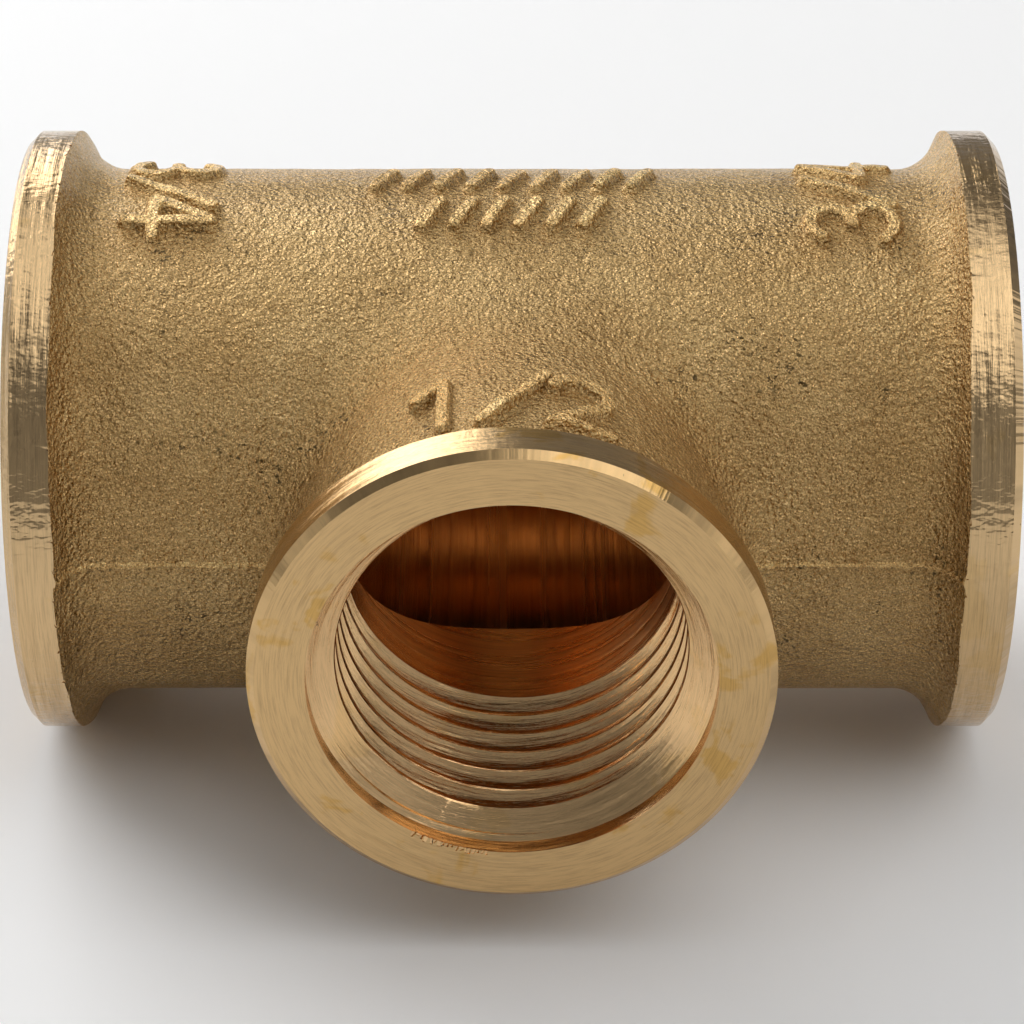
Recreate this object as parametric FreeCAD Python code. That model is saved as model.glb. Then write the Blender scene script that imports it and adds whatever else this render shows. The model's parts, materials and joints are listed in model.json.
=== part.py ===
"""Forged brass reducing tee: 3/4 inch sockets along the run, a 1/2 inch socket on the branch.

The tee is one solid piece of hot-stamped brass. The run lies along X, the branch leaves along -Y,
and the origin is where their two axes cross. Sizes are in millimetres.
"""

import FreeCAD
import Part

import math
import os

X_AXIS = FreeCAD.Vector(1, 0, 0)
BRANCH_AXIS = FreeCAD.Vector(0, -1, 0)
CENTRE = FreeCAD.Vector(0, 0, 0)

# Forged outside of the run.
RUN_LENGTH = 55.0
RUN_COLLAR_DIAMETER = 34.6
RUN_COLLAR_WIDTH = 2.7
BARREL_DIAMETER = 30.2

# Forged outside of the branch. The reach runs from the run's axis to the branch's end face.
BRANCH_REACH = 27.0
BRANCH_COLLAR_DIAMETER = 27.7
BRANCH_COLLAR_WIDTH = 2.7
NECK_DIAMETER = 24.4

# Draft on a collar's flank, measured from square to its axis, and the forging radii.
FLANK_DRAFT = math.radians(25.0)
RUN_FOOT_RADIUS = 1.4
BRANCH_FOOT_RADIUS = 1.0
NECK_BLEND_RADIUS = 2.2
RUN_END_BREAK = 0.5
BRANCH_END_BREAK = 0.4

# Parallel pipe threads of 14 turns to the inch. Each socket is bored to the thread's minor size:
# the run's sockets as far as the narrower waterway, the branch's right through into it.
RUN_THREAD_MAJOR = 26.441
RUN_THREAD_MINOR = 24.117
RUN_SOCKET_DEPTH = 14.5
RUN_WATERWAY = 23.4
BRANCH_THREAD_MAJOR = 20.955
BRANCH_THREAD_MINOR = 18.631

# The mouth of every socket: a short counterbore, then a chamfer that leads the male thread in.
MOUTH_CLEARANCE = 0.6
MOUTH_DEPTH = 1.0
LEAD_IN_DEPTH = 2.0


def along(axis, distance):
    """The point at this distance from the origin along an axis."""
    return FreeCAD.Vector(axis).multiply(distance)


def corner_arc(before, corner, after, radius):
    """The start, middle and end of the arc that rounds a corner of an outline."""
    back = (before - corner).normalize()
    ahead = (after - corner).normalize()
    inward = (back + ahead).normalize()
    half_angle = back.getAngle(ahead) / 2
    tangent = radius / math.tan(half_angle)
    to_arc = radius / math.sin(half_angle) - radius
    return corner + back * tangent, corner + inward * to_arc, corner + ahead * tangent


def turned(axis, stations):
    """A solid turned about an axis through the origin.

    Each station is a distance along the axis, a radius and the radius that rounds the corner there.
    """
    across = FreeCAD.Vector(0, 0, 1)
    corners = [along(axis, d) + along(across, r) for d, r, _ in stations]
    corners = [along(axis, stations[0][0])] + corners + [along(axis, stations[-1][0])]
    roundings = [0.0] + [rounding for _, _, rounding in stations] + [0.0]
    edges = []
    pen = corners[0]
    for i in range(1, len(corners)):
        if roundings[i] > 0.0:
            start, middle, finish = corner_arc(*corners[i - 1 : i + 2], roundings[i])
            edges.append(Part.makeLine(pen, start))
            edges.append(Part.Arc(start, middle, finish).toShape())
            pen = finish
        else:
            edges.append(Part.makeLine(pen, corners[i]))
            pen = corners[i]
    edges.append(Part.makeLine(pen, corners[0]))
    return Part.Face(Part.Wire(edges)).revolve(CENTRE, axis, 360)


def foot_distance(end, width, collar_radius, body_radius):
    """How far along its axis a collar's sloping flank meets the body it stands on."""
    return end - width - (collar_radius - body_radius) * math.tan(FLANK_DRAFT)


def run_blank():
    """The barrel with a collar at each end, before it is bored."""
    end = RUN_LENGTH / 2
    collar = RUN_COLLAR_DIAMETER / 2
    barrel = BARREL_DIAMETER / 2
    foot = foot_distance(end, RUN_COLLAR_WIDTH, collar, barrel)
    half = [
        (foot, barrel, RUN_FOOT_RADIUS),
        (end - RUN_COLLAR_WIDTH, collar, 0.0),
        (end - RUN_END_BREAK, collar, 0.0),
        (end, collar - RUN_END_BREAK, 0.0),
    ]
    mirrored = [(-distance, radius, rounding) for distance, radius, rounding in reversed(half)]
    return turned(X_AXIS, mirrored + half)


def branch_blank():
    """The neck and its collar, from the run's axis out to the end face."""
    end = BRANCH_REACH
    collar = BRANCH_COLLAR_DIAMETER / 2
    neck = NECK_DIAMETER / 2
    foot = foot_distance(end, BRANCH_COLLAR_WIDTH, collar, neck)
    stations = [
        (0.0, neck, 0.0),
        (foot, neck, BRANCH_FOOT_RADIUS),
        (end - BRANCH_COLLAR_WIDTH, collar, 0.0),
        (end - BRANCH_END_BREAK, collar, 0.0),
        (end, collar - BRANCH_END_BREAK, 0.0),
    ]
    return turned(BRANCH_AXIS, stations)


def seam_edges(shape):
    """The edges where the neck's wall runs into the barrel's wall."""
    found = []
    neck, barrel = NECK_DIAMETER / 2, BARREL_DIAMETER / 2
    for edge in shape.Edges:
        middle = edge.valueAt((edge.FirstParameter + edge.LastParameter) / 2)
        on_neck = abs(math.hypot(middle.x, middle.z) - neck) < 1e-3
        on_barrel = abs(math.hypot(middle.y, middle.z) - barrel) < 1e-3
        if on_neck and on_barrel:
            found.append(edge)
    return found


def socket(axis, end, major, minor, depth):
    """The space a tapped socket takes out: counterbore, lead-in chamfer and minor-size bore."""
    mouth = (major + MOUTH_CLEARANCE) / 2
    stations = [
        (end - depth, minor / 2, 0.0),
        (end - LEAD_IN_DEPTH, minor / 2, 0.0),
        (end - MOUTH_DEPTH, mouth, 0.0),
        (end + 1.0, mouth, 0.0),
    ]
    return turned(axis, stations)


def tee_body():
    """The whole fitting: the two blanks forged as one, then bored from all three ends."""
    forging = run_blank().fuse(branch_blank())
    forging = forging.makeFillet(NECK_BLEND_RADIUS, seam_edges(forging))

    half_run = RUN_LENGTH / 2
    run_threads = RUN_THREAD_MAJOR, RUN_THREAD_MINOR
    branch_threads = BRANCH_THREAD_MAJOR, BRANCH_THREAD_MINOR
    cuts = [
        Part.makeCylinder(RUN_WATERWAY / 2, RUN_LENGTH, along(X_AXIS, -half_run), X_AXIS),
        socket(along(X_AXIS, -1), half_run, *run_threads, RUN_SOCKET_DEPTH),
        socket(X_AXIS, half_run, *run_threads, RUN_SOCKET_DEPTH),
        socket(BRANCH_AXIS, BRANCH_REACH, *branch_threads, BRANCH_REACH),
    ]
    for cut in cuts:
        forging = forging.cut(cut)
    return forging.Solids[0]


os.makedirs("parts", exist_ok=True)
tee_body().exportStep("parts/tee_body.step")
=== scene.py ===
"""Forged brass reducing tee: shot-blasted forging, turned collars and tapped sockets.

It is made in the order of the real work: the forging first, then turning, boring and tapping.
Everything is in metres, in the frame of the part: the run along X, the branch along -Y, +Z up.
"""

import json
import math
import random

import bmesh
import bpy
import numpy as np
from mathutils import Matrix, Vector, noise


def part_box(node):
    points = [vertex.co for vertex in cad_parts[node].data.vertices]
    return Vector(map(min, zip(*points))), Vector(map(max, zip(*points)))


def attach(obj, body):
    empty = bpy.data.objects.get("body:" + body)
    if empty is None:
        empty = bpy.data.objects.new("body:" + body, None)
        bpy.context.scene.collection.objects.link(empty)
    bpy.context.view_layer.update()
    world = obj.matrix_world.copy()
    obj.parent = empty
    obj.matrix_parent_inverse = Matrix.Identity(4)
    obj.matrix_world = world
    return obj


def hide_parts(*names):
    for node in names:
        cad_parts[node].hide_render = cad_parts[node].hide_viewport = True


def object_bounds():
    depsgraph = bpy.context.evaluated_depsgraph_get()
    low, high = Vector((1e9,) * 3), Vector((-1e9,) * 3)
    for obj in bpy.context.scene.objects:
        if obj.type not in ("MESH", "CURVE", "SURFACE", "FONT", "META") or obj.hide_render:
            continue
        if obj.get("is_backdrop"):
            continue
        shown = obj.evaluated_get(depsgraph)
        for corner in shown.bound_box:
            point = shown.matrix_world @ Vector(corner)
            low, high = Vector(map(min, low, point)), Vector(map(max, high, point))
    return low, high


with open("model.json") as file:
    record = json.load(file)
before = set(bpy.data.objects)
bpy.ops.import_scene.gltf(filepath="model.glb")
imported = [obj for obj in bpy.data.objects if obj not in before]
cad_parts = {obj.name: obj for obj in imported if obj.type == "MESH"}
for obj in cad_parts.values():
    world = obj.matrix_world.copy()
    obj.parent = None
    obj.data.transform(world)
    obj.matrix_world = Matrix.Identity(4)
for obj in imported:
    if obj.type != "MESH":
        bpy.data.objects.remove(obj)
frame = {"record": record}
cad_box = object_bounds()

MM = 0.001
FULL_TURN = 2 * math.pi

# Sizes taken over from the frame.
LOW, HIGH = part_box("tee_body")
MOUNTS = {mount["name"]: mount for mount in frame["record"]["mounts"]}
RUN_END = HIGH[0]
BRANCH_END = -LOW[1]
RUN_LAND_RADIUS = HIGH[2]
RUN_MINOR_RADIUS = MOUNTS["right_port"]["dims"]["r_mm"] * MM
BRANCH_MINOR_RADIUS = MOUNTS["branch_port"]["dims"]["r_mm"] * MM
WATERWAY_RADIUS = MOUNTS["run_waterway"]["dims"]["r_mm"] * MM
RUN_SOCKET_DEPTH = RUN_END - MOUNTS["run_waterway"]["dims"]["length_mm"] * MM / 2

# The forging: radii of the barrel and neck, the collars, and the blends between them.
BARREL_RADIUS = 15.1 * MM
NECK_RADIUS = 12.2 * MM
BRANCH_LAND_RADIUS = 13.85 * MM
COLLAR_WIDTH = 2.7 * MM
FLANK_DRAFT = math.radians(25)
RUN_FOOT_BLEND = 1.4 * MM
BRANCH_FOOT_BLEND = 1.0 * MM
NECK_BLEND = 2.2 * MM
TURNING_STOCK = 0.4 * MM

# Both run collars have the same uneven rear edge, the left one turned by this much.
LEFT_COLLAR_TURN = 2.0

# The forging's mesh: the grid of the skin, and how far round marks each halving of it reaches.
SKIN_GRID = 0.40 * MM
REFINED_MARGINS = (0.6 * MM, 0.30 * MM)

# The machined ends.
RUN_END_BREAK = 0.5 * MM
BRANCH_END_BREAK = 0.4 * MM
MOUTH_DEPTH = 1.0 * MM
LEAD_IN_DEPTH = 2.0 * MM
MOUTH_CLEARANCE = 0.3 * MM
TURNING_OVERRUN = 1.2 * MM
TOOL_CLEARANCE = 1 * MM
THREAD_PITCH = 1.814 * MM
THREAD_DEPTH = 1.162 * MM
HALF_THREAD_ANGLE = math.radians(27.5)
BRANCH_TAPPED_DEPTH = 13.4 * MM
RUN_TAPPED_DEPTH = 13.6 * MM
RUN_TURN_STEPS = 72
BRANCH_TURN_STEPS = 96

# Raised marks: size numbers in relief and two rows of plain bars. The marks at the run's ends are
# placed by their distance from the branch's axis, the one on the neck from the run's axis.
LEFT_MARK_PLACE = 19.1 * MM
RIGHT_MARK_PLACE = 18.9 * MM
NECK_MARK_PLACE = 18.7 * MM
NECK_START = 15 * MM
MARKED_ARC = 10 * MM
MARKED_RISE = 0.6 * MM
BARREL_MARK_HEIGHT = 0.42 * MM
NECK_MARK_HEIGHT = 0.55 * MM
MARK_SLOPE = 0.13 * MM
PEN_RADIUS = 0.40 * MM
FIGURE_HEIGHT = 4.7 * MM
FIGURE_WIDENING = 1.15
BAR_HALF_HEIGHT = 1.1 * MM
BAR_HALF_SLANT = 0.5 * MM

# The low strip along the parting line.
FLASH_HEIGHT = 0.12 * MM
FLASH_HALF_WIDTH = 0.21 * MM
FLASH_SLOPE = 0.05 * MM


# ---------------------------------------------------------------- the shape of the forging


def rounded_join(first, second, radius):
    """The distance to two joined shapes, with a fillet of this radius in the corner."""
    a = np.maximum(radius - first, 0.0)
    b = np.maximum(radius - second, 0.0)
    return np.maximum(radius, np.minimum(first, second)) - np.hypot(a, b)


def uneven(bearing):
    """How far a forged collar's rear edge strays along the axis, by the bearing round the axis."""
    stray = 0.15 * np.sin(bearing + 0.4) + 0.08 * np.sin(3 * bearing + 2.0)
    return (stray + 0.05 * np.sin(8 * bearing) + 0.03 * np.sin(19 * bearing + 1.0)) * MM


def collared_tube(along, across, bearing, tube, end, land, blend):
    """The distance to a tube with a collar at its end. along counts out from the tube's middle."""
    start = end - COLLAR_WIDTH + uneven(bearing)
    flank = (across - land) * math.sin(FLANK_DRAFT) - (along - start) * math.cos(FLANK_DRAFT)
    collar = np.maximum(flank, across - land - TURNING_STOCK)
    return rounded_join(across - tube, collar, blend)


def forging_distance(points):
    """Signed distance from the forging's skin, negative inside the brass."""
    x, y, z = points.T
    run_bearing = np.arctan2(y, z) + np.where(x > 0, 0.0, LEFT_COLLAR_TURN)
    run_sizes = (BARREL_RADIUS, RUN_END, RUN_LAND_RADIUS, RUN_FOOT_BLEND)
    run = collared_tube(np.abs(x), np.hypot(y, z), run_bearing, *run_sizes)
    branch_sizes = (NECK_RADIUS, BRANCH_END, BRANCH_LAND_RADIUS, BRANCH_FOOT_BLEND)
    branch = collared_tube(-y, np.hypot(x, z), np.arctan2(x, z), *branch_sizes)
    branch = np.maximum(branch, y)
    whole = rounded_join(run, branch, NECK_BLEND)
    whole = np.maximum(whole, np.abs(x) - RUN_END - TURNING_STOCK)
    return np.maximum(whole, -y - BRANCH_END - TURNING_STOCK)


def outward(points):
    """The outward direction of the skin at each point."""
    step = 0.01 * MM
    slopes = np.empty_like(points)
    for axis in range(3):
        nudge = np.zeros(3)
        nudge[axis] = step
        slopes[:, axis] = forging_distance(points + nudge) - forging_distance(points - nudge)
    return slopes / np.maximum(np.linalg.norm(slopes, axis=1, keepdims=True), 1e-12)


def onto_skin(points):
    """The points moved onto the forging's skin."""
    for _ in range(3):
        points = points - outward(points) * forging_distance(points)[:, None]
    return points


def vertices_of(bm):
    return np.array([v.co for v in bm.verts])


def place_vertices(bm, points):
    for vertex, point in zip(bm.verts, points):
        vertex.co = point


# ---------------------------------------------------------------- meshes and objects


def linked(name, mesh):
    made = bpy.data.objects.new(name, mesh)
    bpy.context.scene.collection.objects.link(made)
    return made


def object_from(bm, name, *materials):
    mesh = bpy.data.meshes.new(name)
    bm.to_mesh(mesh)
    bm.free()
    for material in materials:
        mesh.materials.append(material)
    return linked(name, mesh)


def settled(piece):
    """The piece's mesh with its modifiers taken in."""
    piece_now = piece.evaluated_get(bpy.context.evaluated_depsgraph_get())
    mesh = bpy.data.meshes.new_from_object(piece_now)
    piece.modifiers.clear()
    piece.data = mesh
    return mesh


def cut(body, tool):
    """Takes the tool's shape out of the body. The cut faces keep the tool's material."""
    saw = body.modifiers.new("cut", "BOOLEAN")
    saw.operation = "DIFFERENCE"
    saw.solver = "MANIFOLD"
    saw.material_mode = "TRANSFER"
    saw.object = tool
    settled(body)
    bpy.data.objects.remove(tool)


# ---------------------------------------------------------------- raised marks


def arc(middle, half_width, half_height, first, last):
    """Points along part of an ellipse, between two bearings in degrees counted from its right."""
    steps = 8
    bearings = [math.radians(first + (last - first) * i / steps) for i in range(steps + 1)]
    x, y = middle
    return [(x + half_width * math.cos(t), y + half_height * math.sin(t)) for t in bearings]


# The figures as pen strokes, one unit tall and centred.
FIGURES = {
    "1": [[(-0.26, 0.20), (0.02, 0.48), (0.02, -0.5)]],
    "2": [arc((0, 0.22), 0.28, 0.28, 165, -40) + [(-0.28, -0.5), (0.30, -0.5)]],
    "3": [arc((0, 0.25), 0.25, 0.25, 150, -90), arc((0, -0.24), 0.28, 0.26, 90, -150)],
    "4": [[(0.10, -0.5), (0.10, 0.5), (-0.30, -0.18), (0.32, -0.18)]],
    "/": [[(0.30, 0.5), (-0.30, -0.5)]],
}


def number_strokes(*figures):
    """The strokes of a number, with its height along Y. Each figure has its place along X."""
    wide = FIGURE_HEIGHT * FIGURE_WIDENING
    strokes = []
    for figure, place in figures:
        for stroke in FIGURES[figure]:
            strokes.append([(place + x * wide, y * FIGURE_HEIGHT) for x, y in stroke])
    return strokes


def hatching_strokes(*rows):
    """Rows of plain slanted bars. Each row has its middle along Y, its length and its count."""
    strokes = []
    for middle, length, count in rows:
        for i in range(count):
            x = length * (i / (count - 1) - 0.5)
            foot = (x - BAR_HALF_SLANT, middle - BAR_HALF_HEIGHT)
            head = (x + BAR_HALF_SLANT, middle + BAR_HALF_HEIGHT)
            strokes.append([foot, head])
    return strokes


class Relief:
    """A mark drawn with a round pen, that can say how far inside its edge points lie."""

    def __init__(self, strokes):
        self.lines = []
        for stroke in strokes:
            ends = np.array(stroke)
            self.lines += zip(ends[:-1], ends[1:] - ends[:-1])

    def depth(self, u, v):
        """Distance inside the edge, or minus the distance outside it."""
        nearest = np.full(u.shape, 1.0)
        for start, span in self.lines:
            right, up = u - start[0], v - start[1]
            share = np.clip((right * span[0] + up * span[1]) / (span @ span), 0.0, 1.0)
            away = np.hypot(right - share * span[0], up - share * span[1])
            nearest = np.minimum(nearest, away)
        return PEN_RADIUS - nearest


def smooth_rise(value):
    value = min(max(value, 0.0), 1.0)
    return value * value * (3 - 2 * value)


def raised_marks():
    """The reliefs of the left and right run sizes, the middle hatching and the branch size."""
    left_size = (("3", -4.1 * MM), ("/", 0.0), ("4", 2.5 * MM))
    right_size = (("3", -3.2 * MM), ("/", 0.1 * MM), ("4", 3.6 * MM))
    branch_size = (("1", -3.7 * MM), ("/", 0.1 * MM), ("2", 3.6 * MM))
    upper_row = (1.9 * MM, 14.4 * MM, 9)
    lower_row = (-2.2 * MM, 9.0 * MM, 6)
    return (
        Relief(number_strokes(*left_size)),
        Relief(number_strokes(*right_size)),
        Relief(hatching_strokes(upper_row, lower_row)),
        Relief(number_strokes(*branch_size)),
    )


def mark_places(points):
    """Where each point lies on each mark's flat sheet, and whether the mark may cover it."""
    x, y, z = points.T
    round_barrel = BARREL_RADIUS * np.arctan2(-y, z)
    round_neck = NECK_RADIUS * np.arctan2(x, z)
    barrel = np.hypot(y, z) < BARREL_RADIUS + MARKED_RISE
    barrel = barrel & (np.abs(round_barrel) < MARKED_ARC)
    neck = (y < -NECK_START) & (z > 0) & (np.hypot(x, z) < NECK_RADIUS + MARKED_RISE)
    return (
        (round_barrel, x + LEFT_MARK_PLACE, barrel),
        (-round_barrel, RIGHT_MARK_PLACE - x, barrel),
        (x, -round_barrel, barrel),
        (round_neck, y + NECK_MARK_PLACE, neck),
    )


def depths_in_marks(points, marks):
    """How deep each point lies inside the marks' outlines, negative outside."""
    depths = np.full(len(points), -1.0)
    for relief, (u, v, allowed) in zip(marks, mark_places(points)):
        depths = np.where(allowed, np.maximum(depths, relief.depth(u, v)), depths)
    return depths


def mark_height(place, depth):
    """A mark's height above the skin: soft, slightly ragged edges and an uneven top."""
    ragged = 0.05 * MM * noise.noise(place / (0.6 * MM))
    worn = 0.95 + 0.35 * noise.noise(place / (1.9 * MM))
    height = NECK_MARK_HEIGHT if place.y < -NECK_START else BARREL_MARK_HEIGHT
    return height * worn * smooth_rise(0.5 + (depth + ragged) / (2 * MARK_SLOPE))


def flash_height(place):
    """The trimmed edge left along the parting line: a low flat strip with ragged sides."""
    ragged = 0.07 * MM * noise.noise(place / (0.45 * MM))
    ragged = ragged + 0.08 * MM * noise.noise(place / (2.5 * MM))
    inside = FLASH_HALF_WIDTH + ragged - abs(place.z)
    return FLASH_HEIGHT * smooth_rise(0.5 + inside / (2 * FLASH_SLOPE))


# ---------------------------------------------------------------- the forging


def rough_forging():
    """Plain cylinders for the barrel, neck and collars, joined and given an even fine grid."""
    bm = bmesh.new()
    run = Matrix.Rotation(math.radians(90), 4, "Y")
    branch = Matrix.Rotation(math.radians(90), 4, "X")
    run_stock = RUN_END + TURNING_STOCK
    branch_stock = BRANCH_END + TURNING_STOCK
    collar_middle = 1.3 * MM
    collar_depth = 3 * MM
    cylinders = [
        (run, 0, BARREL_RADIUS, 2 * run_stock),
        (run, RUN_END - collar_middle, RUN_LAND_RADIUS, collar_depth),
        (run, -RUN_END + collar_middle, RUN_LAND_RADIUS, collar_depth),
        (branch, branch_stock / 2, NECK_RADIUS, branch_stock),
        (branch, BRANCH_END - collar_middle, BRANCH_LAND_RADIUS, collar_depth),
    ]
    for turn, middle, radius, depth in cylinders:
        bmesh.ops.create_cone(
            bm,
            cap_ends=True,
            segments=128,
            radius1=radius,
            radius2=radius,
            depth=depth,
            matrix=turn @ Matrix.Translation((0, 0, middle)),
        )
    blank = object_from(bm, "blank")
    grid = blank.modifiers.new("grid", "REMESH")
    grid.mode = "VOXEL"
    grid.voxel_size = SKIN_GRID
    mesh = settled(blank)
    bm = bmesh.new()
    bm.from_mesh(mesh)
    bpy.data.objects.remove(blank)
    return bm


def refine(bm, chosen):
    """Halves the grid where both ends of an edge are chosen, and settles it on the skin again."""
    bm.verts.index_update()
    edges = [e for e in bm.edges if chosen[e.verts[0].index] and chosen[e.verts[1].index]]
    bmesh.ops.subdivide_edges(bm, edges=edges, cuts=1, use_grid_fill=True)
    place_vertices(bm, onto_skin(vertices_of(bm)))


def forging(skin, raised):
    """The finished forging: blends, uneven blasted skin, raised marks and the parting line."""
    bm = rough_forging()
    place_vertices(bm, onto_skin(vertices_of(bm)))
    for _ in range(3):
        bmesh.ops.smooth_vert(
            bm, verts=bm.verts, factor=0.5, use_axis_x=True, use_axis_y=True, use_axis_z=True
        )
        place_vertices(bm, onto_skin(vertices_of(bm)))

    marks = raised_marks()
    for margin in REFINED_MARGINS:
        points = vertices_of(bm)
        near_flash = np.abs(points[:, 2]) < margin
        refine(bm, near_flash | (depths_in_marks(points, marks) > -margin))

    points = vertices_of(bm)
    depths = depths_in_marks(points, marks)
    heights = np.zeros(len(points))
    on_top = np.zeros(len(points), bool)
    for i, depth in enumerate(depths):
        place = Vector(points[i])
        strip = flash_height(place)
        heights[i] = skin_height(place) + strip
        if depth > -2 * MARK_SLOPE:
            heights[i] += mark_height(place, depth)
        on_top[i] = strip > 0.6 * FLASH_HEIGHT or depth > 0.0
    place_vertices(bm, points + outward(points) * heights[:, None])
    bmesh.ops.recalc_face_normals(bm, faces=bm.faces)
    bm.verts.index_update()
    # Faces on the marks' tops and the flash strip take the raised skin, whose colour is painted
    # brighter as a highlight.
    for face in bm.faces:
        face.material_index = int(all(on_top[v.index] for v in face.verts))
    return object_from(bm, "tee", skin, raised)


def skin_height(place):
    """The unevenness of the forged skin: broad hammer-soft waves, then dimples, then grit."""
    broad = 0.05 * MM * noise.noise(place / (6.5 * MM))
    dimples = 0.028 * MM * noise.noise(place / (1.6 * MM) + Vector((7, 3, 5)))
    grit = 0.016 * MM * noise.noise(place / (0.55 * MM) + Vector((1, 9, 2)))
    return broad + dimples + grit


# ---------------------------------------------------------------- machining


def turned_tool(name, outline, port, material, steps=256):
    """A tool turned about Z from its (radius, height) outline, then laid along a port's axis."""
    bm = bmesh.new()
    corners = [bm.verts.new((radius, 0, height)) for radius, height in outline]
    edges = [bm.edges.new(pair) for pair in zip(corners, corners[1:] + corners[:1])]
    bmesh.ops.spin(
        bm,
        geom=corners + edges,
        cent=(0, 0, 0),
        axis=(0, 0, 1),
        angle=FULL_TURN,
        steps=steps,
        use_merge=True,
        use_duplicate=False,
    )
    bmesh.ops.remove_doubles(bm, verts=bm.verts, dist=0.001 * MM)
    slivers = [f for f in bm.faces if f.calc_area() < 1e-14]
    bmesh.ops.delete(bm, geom=slivers, context="FACES")
    bmesh.ops.recalc_face_normals(bm, faces=bm.faces)
    bmesh.ops.transform(bm, matrix=port, verts=bm.verts)
    return object_from(bm, name, material)


def turning_tool(port, end, land, end_break, material):
    """What the lathe takes off outside a collar: down to the land, its edge and the end face."""
    clear = land + 3 * MM
    outline = [
        (0, end),
        (land - end_break, end),
        (land, end - end_break),
        (land, end - COLLAR_WIDTH - TURNING_OVERRUN),
        (clear, end - COLLAR_WIDTH - TURNING_OVERRUN),
        (clear, end + 2 * MM),
        (0, end + 2 * MM),
    ]
    return turned_tool("turning", outline, port, material)


def boring_tool(port, end, minor, depth, steps, material):
    """What the boring bar takes out of a socket: the plain bore the thread is cut into."""
    outline = [
        (0, end - depth),
        (minor - 0.25 * MM, end - depth),
        (minor, end - depth + 0.25 * MM),
        (minor, end + TOOL_CLEARANCE),
        (0, end + TOOL_CLEARANCE),
    ]
    return turned_tool("boring", outline, port, material, steps)


def countersink(port, end, minor, mouth, material):
    """The mouth of a socket: a short counterbore and the chamfer that leads the pipe in."""
    slope = (mouth - minor) / (LEAD_IN_DEPTH - MOUTH_DEPTH)
    inside = minor - 0.2 * MM
    outline = [
        (0, end - LEAD_IN_DEPTH - 0.2 * MM / slope),
        (inside, end - LEAD_IN_DEPTH - 0.2 * MM / slope),
        (mouth, end - MOUTH_DEPTH),
        (mouth, end + TOOL_CLEARANCE),
        (0, end + TOOL_CLEARANCE),
    ]
    return turned_tool("countersink", outline, port, material)


def tap(port, end, minor, tapped_depth, steps, material):
    """The helical groove of a right-hand pipe thread, fading out over its last turn."""
    hidden = 0.12 * MM
    rounding = 0.05 * MM
    root = minor + THREAD_DEPTH
    root_half = 0.13 * MM
    slope = math.tan(HALF_THREAD_ANGLE)
    inner = minor - hidden
    crest = minor + rounding
    crest_half = root_half + (root - crest) * slope
    base_half = crest_half + (rounding + hidden) * 1.6
    section = [
        (inner, -base_half),
        (crest, -crest_half),
        (root, -root_half),
        (root, root_half),
        (crest, crest_half),
        (inner, base_half),
    ]
    start = end - tapped_depth
    turns = math.ceil((tapped_depth - MOUTH_DEPTH / 2) / THREAD_PITCH)
    bm = bmesh.new()
    corners = [bm.verts.new((radius, 0, start + height)) for radius, height in section]
    edges = [bm.edges.new(pair) for pair in zip(corners, corners[1:] + corners[:1])]
    bmesh.ops.spin(
        bm,
        geom=corners + edges,
        cent=(0, 0, 0),
        axis=(0, 0, 1),
        dvec=(0, 0, THREAD_PITCH / steps),
        angle=FULL_TURN * turns,
        steps=steps * turns,
        use_merge=False,
        use_duplicate=False,
    )
    bmesh.ops.holes_fill(bm, edges=[e for e in bm.edges if e.is_boundary], sides=0)
    for vertex in bm.verts:
        radius = math.hypot(vertex.co.x, vertex.co.y)
        fade = smooth_rise((vertex.co.z - start + base_half) / (1.3 * THREAD_PITCH))
        scale = (inner + (radius - inner) * fade) / radius
        vertex.co.x *= scale
        vertex.co.y *= scale
    bmesh.ops.recalc_face_normals(bm, faces=bm.faces)
    bmesh.ops.transform(bm, matrix=port, verts=bm.verts)
    return object_from(bm, "tap", material)


def add_nick(bm, chance, point, out, size):
    """Adds a small block that will take a nick out of an edge at this point."""
    upright = out.to_track_quat("Z", "Y").to_matrix().to_4x4()
    twist = Matrix.Rotation(chance.uniform(-0.5, 0.5), 4, "Z")
    lean = Matrix.Rotation(chance.uniform(-0.5, 0.5), 4, "X")
    scale = Matrix.Diagonal((*size, 1))
    place = Matrix.Translation(point) @ upright @ twist @ lean @ scale
    bmesh.ops.create_cube(bm, size=1, matrix=place)


def collar_nicks(side, material):
    """Torn spots along the rear edge of a run collar, where the turning stopped."""
    chance = random.Random(11 if side > 0 else 12)
    count = 64
    bm = bmesh.new()
    for i in range(count):
        bearing = FULL_TURN * (i + chance.uniform(0.1, 0.6)) / count
        stray = float(uneven(bearing + (0.0 if side > 0 else LEFT_COLLAR_TURN)))
        out = Vector((0, math.sin(bearing), math.cos(bearing)))
        point = out * RUN_LAND_RADIUS
        point.x = side * (RUN_END - COLLAR_WIDTH + stray)
        width = chance.uniform(0.05, 0.16) * MM
        size = (width, chance.uniform(0.12, 0.35) * MM, chance.uniform(0.06, 0.14) * MM)
        add_nick(bm, chance, point, out, size)
    return object_from(bm, "collar_nicks", material)


def branch_burr(mouth, material):
    """The row of fine teeth the boring bar tore into the lower edge of the branch's mouth."""
    chance = random.Random(13)
    count = 18
    first, last = math.radians(-29), math.radians(-6)
    bm = bmesh.new()
    for i in range(count):
        bearing = first + (last - first) * (i + chance.uniform(0, 0.5)) / count
        out = Vector((math.sin(bearing), 0, -math.cos(bearing)))
        point = out * (mouth + chance.uniform(-0.05, 0.1) * MM)
        point.y = -BRANCH_END
        size = (0.07 * MM, chance.uniform(0.1, 0.3) * MM, chance.uniform(0.2, 0.6) * MM)
        add_nick(bm, chance, point, out, size)
    return object_from(bm, "branch_burr", material)


# The place of the raised skin, painted brighter as a highlight, among the tee's finishes. The
# plain skin comes before it.
RAISED_SKIN = 1


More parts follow.
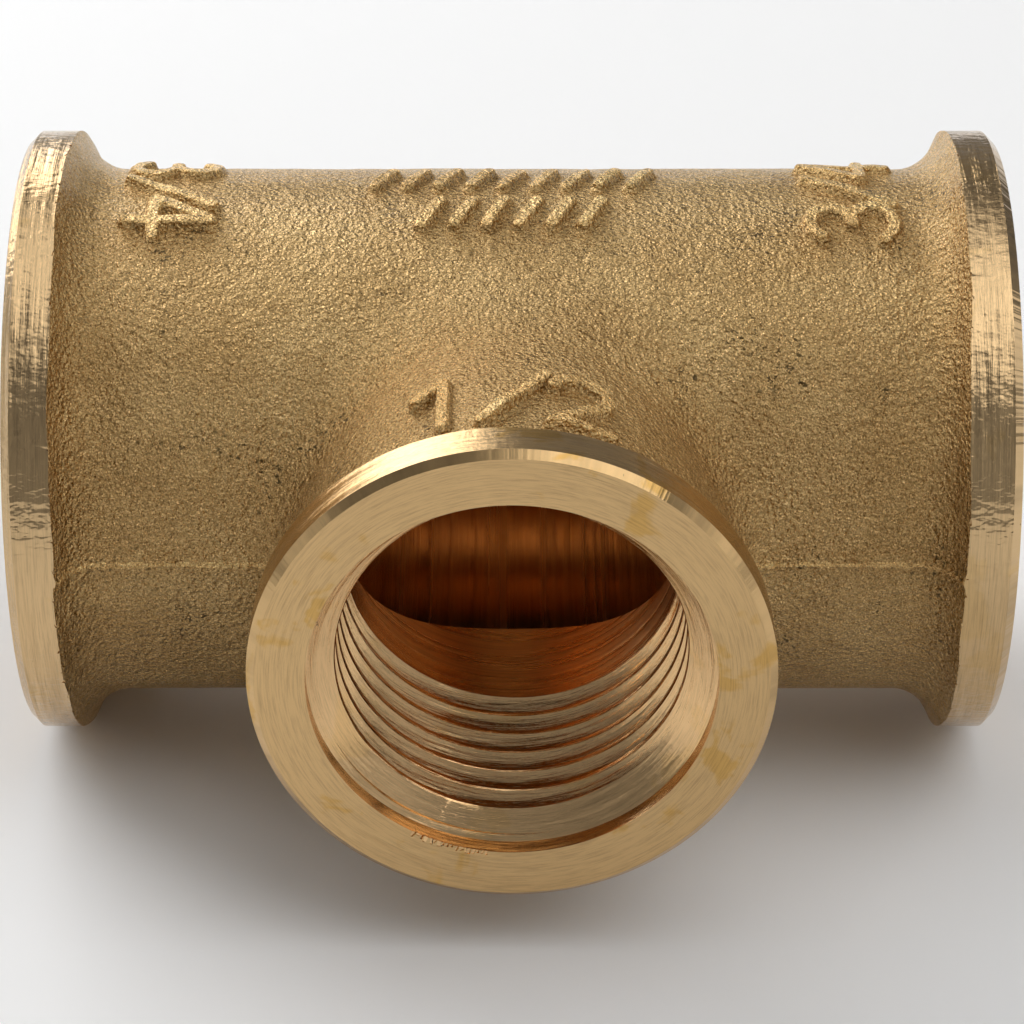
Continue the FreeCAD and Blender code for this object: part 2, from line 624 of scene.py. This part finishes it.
def finish_edges(mesh):
    """Smooth shading, with crisp edges at tool marks and where machining meets the skin."""
    mesh.shade_smooth()
    mesh.set_sharp_from_angle(angle=math.radians(30))
    bm = bmesh.new()
    bm.from_mesh(mesh)
    for edge in bm.edges:
        if len({max(face.material_index, RAISED_SKIN) for face in edge.link_faces}) > 1:
            edge.smooth = False
    bm.to_mesh(mesh)
    bm.free()


# ---------------------------------------------------------------- finishes

LAND_BRASS = (0.65, 0.45, 0.235)
FACE_BRASS = (0.64, 0.425, 0.20)
WATERWAY_BRASS = (0.67, 0.36, 0.15)
BORE_BRASS = (0.80, 0.47, 0.20)
THREAD_BRASS = (0.82, 0.54, 0.27)


class Finish:
    """A material in the making: its nodes, its shader and short ways to add to them."""

    def __init__(self, name):
        self.material = bpy.data.materials.new(name)
        self.material.use_nodes = True
        self.nodes = self.material.node_tree.nodes
        self.links = self.material.node_tree.links
        self.shader = self.nodes["Principled BSDF"]
        self.place = self.nodes.new("ShaderNodeTexCoord").outputs["Object"]

    def node(self, kind, settings=None, **inputs):
        """A new node. settings are its properties, inputs its sockets, as values or as links."""
        made = self.nodes.new("ShaderNode" + kind)
        for key, value in (settings or {}).items():
            setattr(made, key, value)
        for key, value in inputs.items():
            self.feed(made.inputs[key.replace("_", " ")], value)
        return made

    def feed(self, socket, value):
        if isinstance(value, bpy.types.NodeSocket):
            self.links.new(value, socket)
        else:
            socket.default_value = value

    def noise(self, place, size, detail=2.0, rough=0.5, distortion=0.0):
        made = self.node(
            "TexNoise",
            Vector=place,
            Scale=1 / size,
            Detail=detail,
            Roughness=rough,
            Distortion=distortion,
        )
        return made.outputs["Fac"]

    def ramp(self, value, *stops):
        """The value turned into a grey or a colour, through (place, colour) stops."""
        made = self.node("ValToRGB", Fac=value)
        elements = made.color_ramp.elements
        while len(elements) < len(stops):
            elements.new(0.5)
        for element, (place, colour) in zip(elements, stops):
            element.position = place
            if not isinstance(colour, tuple):
                colour = (colour, colour, colour)
            element.color = (*colour, 1)
        return made.outputs["Color"]

    def maths(self, operation, a, b=0.0):
        made = self.node("Math", {"operation": operation})
        self.feed(made.inputs[0], a)
        self.feed(made.inputs[1], b)
        return made.outputs[0]

    def mix(self, share, a, b, kind="MIX"):
        """Colour b laid over colour a by its share."""
        made = self.node("Mix", {"data_type": "RGBA", "blend_type": kind})
        self.feed(made.inputs[0], share)
        for socket, value in ((made.inputs[6], a), (made.inputs[7], b)):
            if isinstance(value, tuple):
                value = (*value, 1)
            self.feed(socket, value)
        return made.outputs[2]

    def bump(self, height, depth, strength=1.0, under=None):
        made = self.node("Bump", Height=height, Distance=depth, Strength=strength)
        if under is not None:
            self.links.new(under, made.inputs["Normal"])
        return made.outputs["Normal"]


def forged_finish(name, painted_highlight_gain=1.0):
    """Shot-blasted forging skin: golden brown, gritty, with dark pits and small pale painted
    glints.
    """
    f = Finish(name)
    grit = f.noise(f.place, 0.00010, detail=2.0, rough=0.75)
    craters = f.node(
        "TexVoronoi", Vector=f.place, Scale=1 / 0.00030, Detail=1.0, Roughness=0.6
    ).outputs["Distance"]
    dents = f.noise(f.place, 0.0009, detail=2.0)
    patches = f.noise(f.place, 0.006, detail=4.0, rough=0.6)
    tone = f.ramp(patches, (0.35, (0.55, 0.35, 0.135)), (0.65, (0.65, 0.435, 0.18)))
    # Grit tone: darker and lighter grains, and at the top pale specks brighter than the brass,
    # which are painted glints.
    grit_and_painted_glints = f.ramp(grit, (0.30, 0.50), (0.50, 0.95), (0.66, (1.40, 1.46, 1.75)))
    colour = f.mix(1.0, tone, grit_and_painted_glints, "MULTIPLY")
    pit = f.ramp(f.noise(f.place, 0.00032, detail=2.0, rough=0.7), (0.36, 0.22), (0.41, 1.0))
    clusters = f.ramp(f.noise(f.place, 0.0042, detail=2.0), (0.57, 0.0), (0.68, 1.0))
    colour = f.mix(clusters, colour, f.mix(1.0, colour, pit, "MULTIPLY"))
    # A gain above one paints the skin's colour brighter, as a painted highlight.
    colour = f.mix(1.0, colour, (painted_highlight_gain, painted_highlight_gain, painted_highlight_gain), "MULTIPLY")
    f.feed(f.shader.inputs["Base Color"], colour)
    f.shader.inputs["Metallic"].default_value = 1.0
    glints = f.noise(f.place, 0.00016, detail=1.0)
    f.feed(f.shader.inputs["Roughness"], f.ramp(glints, (0.40, 0.36), (0.62, 0.13)))
    normal = f.bump(grit, 0.00012)
    normal = f.bump(craters, 0.00016, under=normal)
    normal = f.bump(dents, 0.00020, under=normal)
    f.feed(f.shader.inputs["Normal"], normal)
    return f.material


def lathe_place(f, port):
    """Coordinates for marks that circle a port's axis: the tool's feed, and slowly varying places
    round the axis that let each mark come and go."""
    turn = f.node("Mapping", {"vector_type": "POINT"}, Vector=f.place)
    turn.inputs["Rotation"].default_value = port.inverted().to_euler()
    split = f.node("SeparateXYZ", Vector=turn.outputs["Vector"])
    x, y, along = (split.outputs[i] for i in range(3))
    out = f.maths("SQRT", f.maths("ADD", f.maths("MULTIPLY", x, x), f.maths("MULTIPLY", y, y)))
    return f.maths("ADD", along, out), f.maths("DIVIDE", x, out), f.maths("DIVIDE", y, out)


def turned_finish(name, port, colour, rough, groove, chatter_depth=0.0, staining=0.3, drift=1.0):
    """Bright turned brass: lathe lines round the port's axis, chatter, stains and dark specks.

    The more drift, the shorter the lines run round the axis before they fade.
    """
    f = Finish(name)
    feed, across, up = lathe_place(f, port)

    def ring_noise(feed_share, spread, size, detail, rough_detail):
        place = f.node(
            "CombineXYZ",
            X=f.maths("MULTIPLY", feed, feed_share),
            Y=f.maths("MULTIPLY", across, spread),
            Z=f.maths("MULTIPLY", up, spread),
        )
        return f.noise(place.outputs[0], size, detail=detail, rough=rough_detail)

    fine = ring_noise(1.0, 0.0005 * drift, 0.00008, 3.0, 0.7)
    broad = ring_noise(1.0, 0.0010 * drift, 0.0006, 2.0, 0.5)
    chatter = ring_noise(0.6, 0.0165, 0.00055, 2.0, 0.6)
    stain = f.noise(f.place, 0.0045, detail=4.0, rough=0.6, distortion=0.4)
    speck = f.noise(f.place, 0.00045, detail=1.0)
    stained = tuple(c * share for c, share in zip(colour, (0.93, 0.84, 0.55)))
    tone = f.mix(f.ramp(stain, (0.58, 0.0), (0.63, staining)), colour, stained)
    tone = f.mix(1.0, tone, f.ramp(fine, (0.28, 0.72), (0.55, 1.0)), "MULTIPLY")
    tone = f.mix(1.0, tone, f.ramp(speck, (0.17, 0.35), (0.20, 1.0)), "MULTIPLY")
    f.feed(f.shader.inputs["Base Color"], tone)
    f.shader.inputs["Metallic"].default_value = 1.0
    f.feed(f.shader.inputs["Roughness"], f.ramp(broad, (0.3, rough * 0.7), (0.7, rough * 1.4)))
    normal = f.bump(fine, groove)
    normal = f.bump(broad, groove * 5, under=normal)
    normal = f.bump(chatter, chatter_depth, under=normal)
    f.feed(f.shader.inputs["Normal"], normal)
    return f.material


# ---------------------------------------------------------------- the tee


def port_frame(axis):
    """Turns +Z to point out of a port."""
    return Vector((0, 0, 1)).rotation_difference(Vector(axis)).to_matrix().to_4x4()


RIGHT = port_frame(MOUNTS["right_port"]["axis"])
LEFT = port_frame(MOUNTS["left_port"]["axis"])
BRANCH = port_frame(MOUNTS["branch_port"]["axis"])


def machined_tee(forged, turned, bored, tapped):
    """The forging, then turned, bored and tapped from its three ends.

    forged holds the finishes of the plain skin and of the raised skin, which is painted brighter
    as a highlight. Each other group holds the run's finish, then the branch's.
    """
    run_turned, branch_turned = turned
    waterway_bored, branch_bored = bored
    run_tapped, branch_tapped = tapped
    tee = forging(*forged)
    for port in (LEFT, RIGHT):
        cut(tee, turning_tool(port, RUN_END, RUN_LAND_RADIUS, RUN_END_BREAK, run_turned))
    cut(tee, turning_tool(BRANCH, BRANCH_END, BRANCH_LAND_RADIUS, BRANCH_END_BREAK, branch_turned))

    run_bore = (RUN_END, RUN_MINOR_RADIUS, RUN_SOCKET_DEPTH, RUN_TURN_STEPS)
    branch_bore = (BRANCH_END, BRANCH_MINOR_RADIUS, BRANCH_END, BRANCH_TURN_STEPS)
    cut(tee, boring_tool(LEFT, *run_bore, waterway_bored))
    cut(tee, boring_tool(RIGHT, *run_bore, waterway_bored))
    half_waterway = RUN_END - RUN_SOCKET_DEPTH + TOOL_CLEARANCE
    waterway = [
        (0, -half_waterway),
        (WATERWAY_RADIUS, -half_waterway),
        (WATERWAY_RADIUS, half_waterway),
        (0, half_waterway),
    ]
    cut(tee, turned_tool("waterway", waterway, RIGHT, waterway_bored))
    cut(tee, boring_tool(BRANCH, *branch_bore, branch_bored))

    run_thread = (RUN_END, RUN_MINOR_RADIUS, RUN_TAPPED_DEPTH, RUN_TURN_STEPS)
    branch_thread = (BRANCH_END, BRANCH_MINOR_RADIUS, BRANCH_TAPPED_DEPTH, BRANCH_TURN_STEPS)
    for port, (end, minor, depth, steps), finish in (
        (LEFT, run_thread, run_tapped),
        (RIGHT, run_thread, run_tapped),
        (BRANCH, branch_thread, branch_tapped),
    ):
        mouth = minor + THREAD_DEPTH + MOUTH_CLEARANCE
        cut(tee, countersink(port, end, minor, mouth, finish))
        cut(tee, tap(port, end, minor, depth, steps, finish))
    for side in (-1, 1):
        cut(tee, collar_nicks(side, run_turned))
    cut(tee, branch_burr(BRANCH_MINOR_RADIUS + THREAD_DEPTH + MOUTH_CLEARANCE, branch_tapped))
    finish_edges(tee.data)
    return tee


# The raised skin is the same finish with its colour painted 1.4 times brighter, a painted
# highlight on the marks and the flash strip.
forged = forged_finish("forged_skin"), forged_finish("raised_skin_painted_highlight", painted_highlight_gain=1.4)
run_turned = turned_finish("run_turned", RIGHT, LAND_BRASS, 0.12, 0.000026, 0.00008)
branch_turned = turned_finish(
    "branch_turned", BRANCH, FACE_BRASS, 0.19, 0.000016, 0.00002, staining=0.9
)
waterway_bored = turned_finish("waterway_bored", RIGHT, WATERWAY_BRASS, 0.22, 0.000007, drift=0.12)
branch_bored = turned_finish("branch_bored", BRANCH, BORE_BRASS, 0.26, 0.000014, drift=0.2)
run_tapped = turned_finish("run_tapped", RIGHT, THREAD_BRASS, 0.11, 0.000014, 0.000006)
branch_tapped = turned_finish("branch_tapped", BRANCH, THREAD_BRASS, 0.11, 0.000014, 0.000006)

turned = run_turned, branch_turned
bored = waterway_bored, branch_bored
tapped = run_tapped, branch_tapped
tee = machined_tee(forged, turned, bored, tapped)
tee.name = "tee_body_forging"
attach(tee, "root")
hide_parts("tee_body")


# ---------------------------------------------------------------- studio


def stage_finish(name, grey, rough):
    material = bpy.data.materials.new(name)
    material.use_nodes = True
    shader = material.node_tree.nodes["Principled BSDF"]
    shader.inputs["Base Color"].default_value = (grey, grey, grey, 1)
    shader.inputs["Roughness"].default_value = rough
    return material


def pale_floor():
    bm = bmesh.new()
    bmesh.ops.create_grid(bm, x_segments=1, y_segments=1, size=3)
    bmesh.ops.translate(bm, vec=(0, 0, LOW[2]), verts=bm.verts)
    object_from(bm, "floor", stage_finish("pale_floor", 0.98, 0.7))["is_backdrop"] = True


def pale_room():
    """White walls and ceiling a metre off, which fill the shadows and the dark reflections."""
    bm = bmesh.new()
    bmesh.ops.create_cube(bm, size=2)
    object_from(bm, "room", stage_finish("room_white", 0.8, 0.5))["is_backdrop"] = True


# Light panels round the tee: name, bearing, elevation, width, height and brightness. The bearing
# turns from straight ahead of the branch towards the right. Bearing and elevation are in degrees.
PANEL_DISTANCE = 0.5
PANELS = [
    ("back_left_softbox", 217, 27, 0.44, 0.36, 3.4),
    ("top_left", 235, 70, 0.40, 0.36, 0.9),
    ("right_softbox", 58, 60, 0.46, 0.50, 1.35),
    ("right_foot", 90, 15, 0.39, 0.22, 0.7),
    ("right_front_foot", 45, 15, 0.39, 0.22, 0.25),
    ("back_right", 122, 38, 0.18, 0.16, 1.0),
    ("left_foot", 270, 15, 0.39, 0.22, 0.5),
    ("back", 195, 12, 0.25, 0.12, 0.2),
]


def light_panel(name, bearing, elevation, width, height, brightness):
    light = bpy.data.lights.new(name, "AREA")
    light.shape = "RECTANGLE"
    light.size = width
    light.size_y = height
    light.energy = brightness * width * height * math.pi
    holder = linked(name, light)
    bearing, elevation = math.radians(bearing), math.radians(elevation)
    out = Vector((math.sin(bearing), -math.cos(bearing), math.tan(elevation))).normalized()
    holder.location = out * PANEL_DISTANCE
    holder.rotation_euler = (-out).to_track_quat("-Z", "Y").to_euler()


def studio():
    pale_floor()
    pale_room()
    world = bpy.data.worlds.new("studio")
    world.use_nodes = True
    world.node_tree.nodes["Background"].inputs["Strength"].default_value = 0.0
    bpy.context.scene.world = world
    bpy.context.scene.view_settings.view_transform = "Standard"
    for panel in PANELS:
        light_panel(*panel)


def camera():
    """The view from in front and above, looking along +Y and down."""
    elevation = math.radians(30.7)
    distance = 211.7 * MM
    drop = 4.85 * MM
    ahead = Vector((0, math.cos(elevation), -math.sin(elevation)))
    up = Vector((0, math.sin(elevation), math.cos(elevation)))
    lens = bpy.data.cameras.new("camera")
    lens.sensor_width = 36
    lens.lens = 127.57
    lens.clip_start = 0.01
    lens.clip_end = 20
    holder = linked("camera", lens)
    holder.location = -ahead * distance - up * drop
    holder.rotation_euler = ahead.to_track_quat("-Z", "Y").to_euler()
    bpy.context.scene.camera = holder


studio()
camera()

visual_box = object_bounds()
boxes = {"cad": cad_box, "visual": visual_box}
{k: [[float(c) for c in corner] for corner in v] for k, v in boxes.items()}
